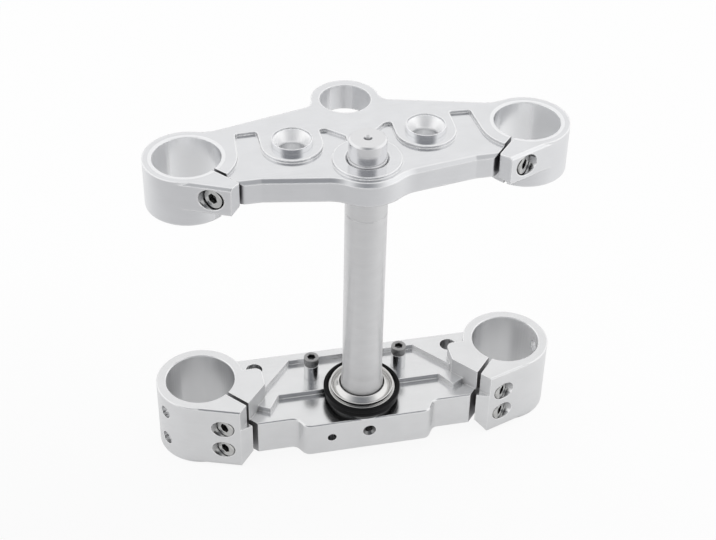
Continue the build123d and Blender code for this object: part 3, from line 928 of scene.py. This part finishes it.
@dataclass
class SocketScrew:
    """Socket head screw, its head standing on z = 0 and its shank below.

    Attributes:
        thread_d, length: shank.
        head_d, head_h: head.
        hex_af, hex_depth: socket, across its flats.
        knurls, knurl_depth: grooves round the head.
        crown: round at the head's top edge.
        mouth_break, foot_break, tip_break: broken edges of the socket, the head and the shank.
        point_share, point_depth: the drill's point at the bottom of the socket.
    """

    thread_d: float
    length: float
    head_d: float
    head_h: float
    hex_af: float
    hex_depth: float
    knurls: int = 40
    knurl_depth: float = 0.18
    crown: float = 0.7
    mouth_break: float = 0.25
    foot_break: float = 0.35
    tip_break: float = 0.6
    point_share: float = 0.35
    point_depth: float = 0.6

    def build(self) -> bmesh.types.BMesh:
        """Model the screw from its socket outwards.

        Returns:
            The shape in millimetres, on the Z axis.
        """
        bm = bmesh.new()
        hex_r = self.hex_af / math.sqrt(3)
        mouth_r = hex_r + self.mouth_break
        mouth = self.ring(bm, 3 * self.knurls, mouth_r, self.head_h)
        rim = self.ring(bm, 6, hex_r, self.head_h - self.mouth_break)
        bmesh.ops.bridge_loops(bm, edges=mouth + rim)
        wall = self.draw(bm, rim, 1.0, self.mouth_break - self.hex_depth)
        floor = self.draw(bm, wall, self.point_share, -self.point_depth)
        bmesh.ops.contextual_create(bm, geom=floor)
        self.head(bm, mouth, mouth_r)
        bmesh.ops.remove_doubles(bm, verts=bm.verts, dist=MERGE)
        bmesh.ops.recalc_face_normals(bm, faces=bm.faces)
        return bm

    def outline(self) -> list[Point]:
        """Outline from the socket's mouth to the tip.

        Returns:
            Radii and heights of the head's top, crown and side, and of the shank.
        """
        head_r = self.head_d / 2
        shank_r = self.thread_d / 2
        flat_r = head_r - self.crown
        points = [(flat_r, self.head_h)]
        for turn in (22.5, 45.0, 67.5, 90.0):
            reach = self.crown * math.sin(math.radians(turn))
            drop = self.crown * (1 - math.cos(math.radians(turn)))
            points.append((flat_r + reach, self.head_h - drop))
        points += [(head_r, self.foot_break), (head_r - self.foot_break, 0.0), (shank_r, 0.0)]
        return points + [(shank_r, self.tip_break - self.length), (shank_r - self.tip_break, -self.length)]

    def head(self, bm: bmesh.types.BMesh, mouth: list[bmesh.types.BMEdge], mouth_r: float) -> None:
        """Draw the head, knurled on its side, and the shank down to its tip.

        Args:
            bm: the screw.
            mouth: edges round the socket's mouth.
            mouth_r: their radius.
        """
        loop = mouth
        at, height = mouth_r, self.head_h
        for radius, level in self.outline():
            loop = self.draw(bm, loop, radius / at, level - height)
            at, height = radius, level
            if math.isclose(radius, self.head_d / 2):
                self.knurl(loop)
        bmesh.ops.contextual_create(bm, geom=loop)

    def knurl(self, loop: list[bmesh.types.BMEdge]) -> None:
        """Sink one vertex in three of a loop towards the axis.

        Args:
            loop: edges round the head's side.
        """
        share = 1 - self.knurl_depth / (self.head_d / 2)
        for vertex in {v for edge in loop for v in edge.verts}:
            turn = math.atan2(vertex.co.y, vertex.co.x) / math.tau * self.knurls
            if abs(turn - round(turn)) < 0.1:
                vertex.co.x *= share
                vertex.co.y *= share

    @staticmethod
    def ring(bm: bmesh.types.BMesh, count: int, radius: float, height: float) -> list[bmesh.types.BMEdge]:
        """Make an open ring of edges round the axis.

        Args:
            bm: the screw.
            count: how many edges.
            radius: radius of the ring's corners.
            height: height of the ring.

        Returns:
            The edges.
        """
        place = Matrix.Translation((0.0, 0.0, height))
        made = bmesh.ops.create_circle(bm, cap_ends=False, segments=count, radius=radius, matrix=place)
        return list({edge for vertex in made["verts"] for edge in vertex.link_edges})

    @staticmethod
    def draw(
        bm: bmesh.types.BMesh, loop: list[bmesh.types.BMEdge], share: float, rise: float
    ) -> list[bmesh.types.BMEdge]:
        """Extrude a loop, scaling it about the axis and raising it.

        Args:
            bm: the screw.
            loop: edges to extrude.
            share: new radius as a share of the old one.
            rise: change of height.

        Returns:
            The new loop.
        """
        made = bmesh.ops.extrude_edge_only(bm, edges=loop)["geom"]
        moved = [part for part in made if isinstance(part, bmesh.types.BMVert)]
        bmesh.ops.scale(bm, vec=(share, share, 1.0), verts=moved)
        bmesh.ops.translate(bm, vec=(0.0, 0.0, rise), verts=moved)
        edges = [part for part in made if isinstance(part, bmesh.types.BMEdge)]
        return [edge for edge in edges if all(v in moved for v in edge.verts)]


def gathered(shape: bmesh.types.BMesh, places: list[Matrix]) -> bmesh.types.BMesh:
    """Copies of a shape at several places.

    Args:
        shape: the shape; it is freed.
        places: where the copies go.

    Returns:
        One bmesh with all the copies.
    """
    mesh = bpy.data.meshes.new("copy")
    shape.to_mesh(mesh)
    shape.free()
    group = bmesh.new()
    for place in places:
        copy = mesh.copy()
        copy.transform(place)
        group.from_mesh(copy)
        bpy.data.meshes.remove(copy)
    bpy.data.meshes.remove(mesh)
    return group


@dataclass
class ForkClamp:
    """One of the two clamps: its CAD node's finish and its pinch screws.

    Attributes:
        node: the clamp's CAD node.
        surface: its finish.
        screws: the CAD node of its pinch screws.
        flat_r: ring centre to the lip's flat.
        flat_turn: the flat's turn from the X axis, in degrees.
        screw_reach: ring centre to the screws, along the slit.
        levels: heights of the screws.
        turns: turn of each screw's socket, in degrees.
        seat, sunk: depth of the screws' seats, and how far their heads lie below the flat.
    """

    node: str
    surface: Surface
    screws: str
    flat_r: float
    flat_turn: float
    screw_reach: float
    levels: tuple[float, ...]
    turns: tuple[float, ...]
    seat: float = 8.0
    sunk: float = 1.6

    def place(self, side: int, level: float, turn: float) -> Matrix:
        """Find where a screw's head sits.

        Args:
            side: 1 for the right, -1 for the left.
            level: height of the screw.
            turn: turn of its socket in degrees.

        Returns:
            The screw's matrix in millimetres.
        """
        slit = math.radians(SLIT_TURN)
        flat = math.radians(self.flat_turn)
        along = Vector((-math.sin(slit), -math.cos(slit), 0.0))
        across = Vector((math.cos(slit), -math.sin(slit), 0.0))
        normal = Vector((math.sin(flat), -math.cos(flat), 0.0))
        out = (self.flat_r - self.screw_reach * normal.dot(along)) / normal.dot(across) - self.seat
        at = Vector((FORK_X, FORK_Y, level)) + self.screw_reach * along + out * across
        mirror = Vector((side, 1.0, 1.0))
        aim = (across * mirror).to_track_quat("Z", "Y").to_matrix().to_4x4()
        return Matrix.Translation(at * mirror) @ aim @ Matrix.Rotation(math.radians(turn), 4, "Z")

    def dress(self, paint: Paint) -> None:
        """Finish the clamp and set its screws.

        Args:
            paint: the materials.
        """
        paint.node(self.node, self.surface)
        screw = SocketScrew(
            thread_d=8.0, length=25.0, head_d=13.0, head_h=self.seat - self.sunk, hex_af=6.0, hex_depth=4.0
        )
        spots = [(side, level) for side in (-1, 1) for level in self.levels]
        places = [self.place(side, level, turn) for (side, level), turn in zip(spots, self.turns)]
        paint.piece(gathered(screw.build(), places), f"{self.node}_pinch_screws", Surface.SCREW, self.screws)


@dataclass
class Stem:
    """Steering stem with the bearing race and the dust seal at its foot.

    Attributes:
        seat_r: the stem's seat, inside the race.
        race_r, race_top, race_floor, race_rim: the race's outside, its rim and the floor of its inner step.
        lip_r, lip_edge, lip_rise: the race's inner lip.
        track_r, track_depth: the lowest ring of the ball track.
        flange_r, flange_top: the race's low flange.
        seal_r, seal_top, seal_gap: the seal's outside, and its gap round the flange.
        foot, foot_h, groove, groove_h, brim_h: the seal's foot, its groove and the brim above, as insets
            and heights.
        wiper, wiper_drop: insets and drops of the wiping lip's top edges, and the drop at its inside.
    """

    shelf: float = SHELF
    seat_r: float = 14.05
    race_r: float = 21.0
    race_top: float = 46.0
    race_floor: float = 40.6
    race_rim: float = 0.7
    lip_r: float = 15.0
    lip_edge: float = 0.6
    lip_rise: float = 1.2
    track_r: float = 19.4
    track_depth: float = 2.6
    flange_r: float = 22.1
    flange_top: float = 43.2
    seal_r: float = 25.4
    seal_top: float = 44.5
    seal_gap: float = 0.05
    foot: float = 0.8
    foot_h: float = 2.6
    groove: float = 1.4
    groove_h: float = 3.0
    brim_h: float = 3.6
    wiper: tuple[Point, Point] = ((2.0, 0.0), (2.8, 1.2))
    wiper_drop: float = 1.6

    def dress(self, paint: Paint) -> None:
        """Finish the stem, and turn the race and the seal.

        Args:
            paint: the materials.
        """
        paint.node("steering_stem", Surface.STEM)
        paint.piece(self.race(), "ball_race", Surface.RACE, "lower_bearing_race")
        paint.piece(self.seal(), "lip_seal", Surface.SEAL, "dust_seal")

    def race(self) -> bmesh.types.BMesh:
        """Turn the ring with a hollow track that faces up.

        Returns:
            The race in millimetres.
        """
        outline = [
            (self.seat_r, self.race_floor),
            (self.seat_r, self.shelf),
            (self.flange_r, self.shelf),
            (self.flange_r, self.flange_top),
            (self.race_r, self.flange_top),
            (self.race_r, self.race_top),
            (self.race_r - self.race_rim, self.race_top),
            (self.track_r, self.race_top - self.track_depth),
            (self.lip_r + self.lip_edge, self.race_top + self.lip_rise),
            (self.lip_r, self.race_top + self.lip_rise),
            (self.lip_r, self.race_floor),
        ]
        rounds = {3: 0.3, 5: 0.25, 6: 0.2, 7: 0.5, 8: 0.3, 9: 0.2}
        return Turning(outline, rounds, steps=128).build()

    def seal(self) -> bmesh.types.BMesh:
        """Turn the ring with a rounded wiping lip and a groove.

        Returns:
            The seal in millimetres.
        """
        inner_r = self.flange_r + self.seal_gap
        outline = [
            (inner_r, self.shelf),
            (self.seal_r - self.foot, self.shelf),
            (self.seal_r - self.foot, self.shelf + self.foot_h),
            (self.seal_r - self.groove, self.shelf + self.groove_h),
            (self.seal_r, self.shelf + self.brim_h),
            (self.seal_r, self.seal_top),
            *[(self.seal_r - inset, self.seal_top - drop) for inset, drop in self.wiper],
            (inner_r, self.seal_top - self.wiper_drop),
        ]
        rounds = {2: 0.5, 4: 0.5, 5: 0.9, 6: 0.4, 7: 0.3}
        return Turning(outline, rounds, steps=128).build()


@dataclass
class RiserCup:
    """Turned insert with a coned mouth in the upper clamp.

    Attributes:
        side: 1 for the right, -1 for the left.
        top, bottom: the clamp's top under the flange, and the shank's end.
        shank_r, flange_r, flange_h: the cup's outside.
        mouth_r, lip: the mouth, and the height of its upright lip.
        cone_r, cone_depth: the cone's top, and its depth below the rim.
    """

    side: int
    top: float = 227.5
    bottom: float = 210.0
    shank_r: float = 10.98
    flange_r: float = 12.5
    flange_h: float = 3.5
    mouth_r: float = 11.9
    lip: float = 1.3
    cone_r: float = 11.8
    cone_depth: float = 7.9

    def dress(self, paint: Paint) -> None:
        """Turn the cup in place of its plain solid.

        Args:
            paint: the materials.
        """
        rim = self.top + self.flange_h
        outline = [
            (CUP_BORE_R, self.bottom),
            (self.shank_r, self.bottom),
            (self.shank_r, self.top),
            (self.flange_r, self.top),
            (self.flange_r, rim),
            (self.mouth_r, rim),
            (self.cone_r, rim - self.lip),
            (CUP_BORE_R, rim - self.cone_depth),
        ]
        rounds = {4: 0.28, 5: 0.28, 6: 0.2, 7: 1.2, 1: 0.4}
        bm = Turning(outline, rounds).build()
        bmesh.ops.translate(bm, vec=(self.side * CUP_X, CUP_Y, 0.0), verts=bm.verts)
        name = "left" if self.side < 0 else "right"
        paint.piece(bm, f"{name}_coned_cup", Surface.CUP, f"{name}_riser_cup")


@dataclass
class BracketBolts:
    """Two socket head bolts, each on a plain sleeve that stands on the lower clamp's shelf.

    Attributes:
        x, y: place of the right bolt.
        shelf, seat: heights of the sleeves' foot and of the bolts' heads.
        turns: turn of each bolt's socket, in degrees.
        sleeve_r, sleeve_bore_r, sleeve_break: the sleeves, and their broken edges.
    """

    x: float = 30.0
    y: float = 21.2
    shelf: float = SHELF
    seat: float = 49.0
    turns: tuple[float, float] = (12.0, 38.0)
    sleeve_r: float = 5.0
    sleeve_bore_r: float = 3.2
    sleeve_break: float = 0.25

    def dress(self, paint: Paint) -> None:
        """Set the bolts and turn their sleeves.

        Args:
            paint: the materials.
        """
        places = []
        for side, turn in zip((-1, 1), self.turns):
            place = Matrix.Translation((side * self.x, self.y, self.seat))
            places.append(place @ Matrix.Rotation(math.radians(turn), 4, "Z"))
        bolt = SocketScrew(
            thread_d=6.0,
            length=24.0,
            head_d=10.0,
            head_h=6.0,
            hex_af=5.0,
            hex_depth=3.0,
            knurls=32,
            knurl_depth=0.16,
            crown=0.6,
        )
        paint.piece(gathered(bolt.build(), places), "knurled_bracket_bolts", Surface.BOLT, "bracket_bolts")
        for side, name in ((-1, "left"), (1, "right")):
            bm = self.sleeve()
            bmesh.ops.translate(bm, vec=(side * self.x, self.y, 0.0), verts=bm.verts)
            paint.piece(bm, f"{name}_turned_sleeve", Surface.SLEEVE, f"{name}_spacer_sleeve")

    def sleeve(self) -> bmesh.types.BMesh:
        """Turn a sleeve on the Z axis.

        Returns:
            The sleeve in millimetres.
        """
        outline = [
            (self.sleeve_bore_r, self.shelf),
            (self.sleeve_r, self.shelf),
            (self.sleeve_r, self.seat),
            (self.sleeve_bore_r, self.seat),
        ]
        rounds = {1: self.sleeve_break, 2: self.sleeve_break}
        return Turning(outline, rounds, steps=64, arcs=3).build()


@dataclass
class Studio:
    """Pale floor with painted light, soft light all round with a dark side behind the camera, and the camera.

    Attributes:
        camera_at, forward, roll: the camera's place and aim.
        focal_px, centre_px, image_px: its lens in pixels of the photograph.
        sensor_mm: its sensor's width.
        floor_half: half the floor's side, in metres.
        floor_way, floor_run: direction in which painted light makes the floor paler, and over which stretch.
        floor_shaded, floor_lit: its tones, darker near the camera and paler beyond the part, as painted
            light.
        white_seen, white_mirrored: how white the camera and reflections see the floor.
        dark_turn: middle of the dark side, in degrees from the rear.
        dark_width, dark_rise: its spread sideways and upwards.
        dark_shoulder, dark_taper: height from which it narrows, and how fast.
        glow_side, glow_low: where the light is brightest.
        pale, bright, dark: tones of the light.
    """

    camera_at: Triple = (-0.1748, -0.7407, 0.7548)
    forward: Triple = (0.1764, 0.7587, -0.6271)
    roll: float = 0.0239
    focal_px: float = 1559.19
    centre_px: Point = (360.57, 269.38)
    image_px: tuple[int, int] = (716, 540)
    sensor_mm: float = 36.0
    floor_half: float = 4.0
    floor_way: Point = (0.5, 0.85)
    floor_run: Point = (-0.42, 0.15)
    floor_shaded: Colour = (0.46, 0.46, 0.47)
    floor_lit: Colour = (0.97, 0.97, 0.97)
    white_seen: float = 0.9
    white_mirrored: float = 0.38
    dark_turn: float = -13.0
    dark_width: Point = (0.25, 0.85)
    dark_rise: Point = (0.46, 0.56)
    dark_shoulder: float = 0.6
    dark_taper: float = 1.5
    glow_side: Point = (0.35, 0.75)
    glow_low: Point = (0.42, 0.15)
    pale: Colour = (0.97, 0.97, 0.97)
    bright: Colour = (1.12, 1.12, 1.12)
    dark: Colour = (0.2, 0.21, 0.23)

    def camera(self) -> None:
        """Put the camera where the photograph was taken from."""
        width, height = self.image_px
        data = bpy.data.cameras.new("camera")
        data.sensor_width = self.sensor_mm
        data.lens = self.focal_px * self.sensor_mm / width
        data.shift_x = (width / 2 - self.centre_px[0]) / width
        data.shift_y = (self.centre_px[1] - height / 2) / width
        data.clip_start = 0.01
        camera = bpy.data.objects.new("camera", data)
        forward = Vector(self.forward).normalized()
        right = forward.cross(Vector((0.0, 0.0, 1.0))).normalized()
        up = right.cross(forward)
        turned = right * math.cos(self.roll) + up * math.sin(self.roll)
        level = up * math.cos(self.roll) - right * math.sin(self.roll)
        aim = Matrix((turned, level, -forward)).transposed().to_4x4()
        camera.matrix_world = Matrix.Translation(self.camera_at) @ aim
        bpy.context.scene.collection.objects.link(camera)
        bpy.context.scene.camera = camera

    def paper(self) -> bpy.types.Material:
        """Make the floor's material.

        Returns:
            Matt paper with painted light that grows paler away from the camera, white to the camera and in
            reflections, that keeps a shadow.
        """
        material = bpy.data.materials.new("pale_floor")
        material.use_nodes = True
        graph = Graph(material.node_tree)
        x, y, _ = graph.spot()
        # Painted light: the floor runs from dark near the camera to pale beyond the part.
        lit_share = (self.floor_way[0] * x + self.floor_way[1] * y).ease(*self.floor_run)
        paper = graph.blend(lit_share, rgba(self.floor_shaded), rgba(self.floor_lit))
        inputs = {"Base Color": paper, "Roughness": 1.0, "Specular IOR Level": 0.0}
        matt = graph.add("ShaderNodeBsdfPrincipled", None, inputs)
        white = graph.add("ShaderNodeEmission", None, {"Color": rgba((1.0, 1.0, 1.0)), "Strength": 1.0})
        mirrored = graph.rays("Is Glossy Ray").most(graph.rays("Is Transmission Ray"))
        share = (self.white_seen * graph.rays("Is Camera Ray")).most(self.white_mirrored * mirrored)
        mix = graph.add("ShaderNodeMixShader", None, {0: share, 1: matt.outputs[0], 2: white.outputs[0]})
        graph.add("ShaderNodeOutputMaterial", None, {"Surface": mix.outputs[0]})
        return material

    def floor(self) -> None:
        """Lay the pale floor."""
        bm = bmesh.new()
        bmesh.ops.create_grid(bm, x_segments=1, y_segments=1, size=self.floor_half)
        mesh = bpy.data.meshes.new("floor")
        bm.to_mesh(mesh)
        bm.free()
        mesh.materials.append(self.paper())
        floor = bpy.data.objects.new("floor", mesh)
        bpy.context.scene.collection.objects.link(floor)

    def light(self) -> None:
        """Light from all round, with a dark side behind the camera that reflections show."""
        world = bpy.data.worlds.new("white_tent")
        bpy.context.scene.world = world
        world.use_nodes = True
        graph = Graph(world.node_tree)
        turn = math.radians(self.dark_turn)
        x, y, z = graph.parts(graph.add("ShaderNodeTexCoord").outputs["Generated"])
        behind = (math.sin(turn) * x - math.cos(turn) * y) / span(x, y)
        dark = (behind - self.dark_taper * (z - self.dark_shoulder).most(0.0)).ease(*self.dark_width)
        dark = dark * z.ease(*self.dark_rise) * (1.0 - graph.rays("Is Camera Ray"))
        glow = x.size().ease(*self.glow_side).most(z.ease(*self.glow_low))
        pale = graph.blend(glow, rgba(self.pale), rgba(self.bright))
        tone = graph.blend(dark, pale, rgba(self.dark))
        sky = graph.add("ShaderNodeBackground", None, {"Color": tone, "Strength": 1.0})
        graph.add("ShaderNodeOutputWorld", None, {"Surface": sky.outputs[0]})

    def build(self) -> None:
        """Set up the camera, the floor, the light and the view."""
        self.camera()
        self.floor()
        self.light()
        bpy.context.scene.view_settings.view_transform = "Standard"
        LOG.info("studio ready")


def main() -> None:
    """Build the studio and the sub-assemblies in order."""
    logging.basicConfig(level=logging.INFO, format="%(message)s")
    Studio().build()
    paint = Paint()
    upper = ForkClamp(
        "upper_clamp",
        Surface.UPPER,
        "upper_pinch_screws",
        flat_r=26.52,
        flat_turn=23.5,
        screw_reach=30.9,
        levels=(218.1,),
        turns=(14.0, 40.0),
    )
    lower = ForkClamp(
        "lower_clamp",
        Surface.LOWER,
        "lower_pinch_screws",
        flat_r=29.02,
        flat_turn=19.0,
        screw_reach=31.6,
        levels=(14.7, 33.0),
        turns=(8.0, 33.0, 21.0, 50.0),
    )
    for assembly in (upper, lower, Stem(), RiserCup(-1), RiserCup(1), BracketBolts()):
        assembly.dress(paint)


if __name__ == "__main__":
    main()
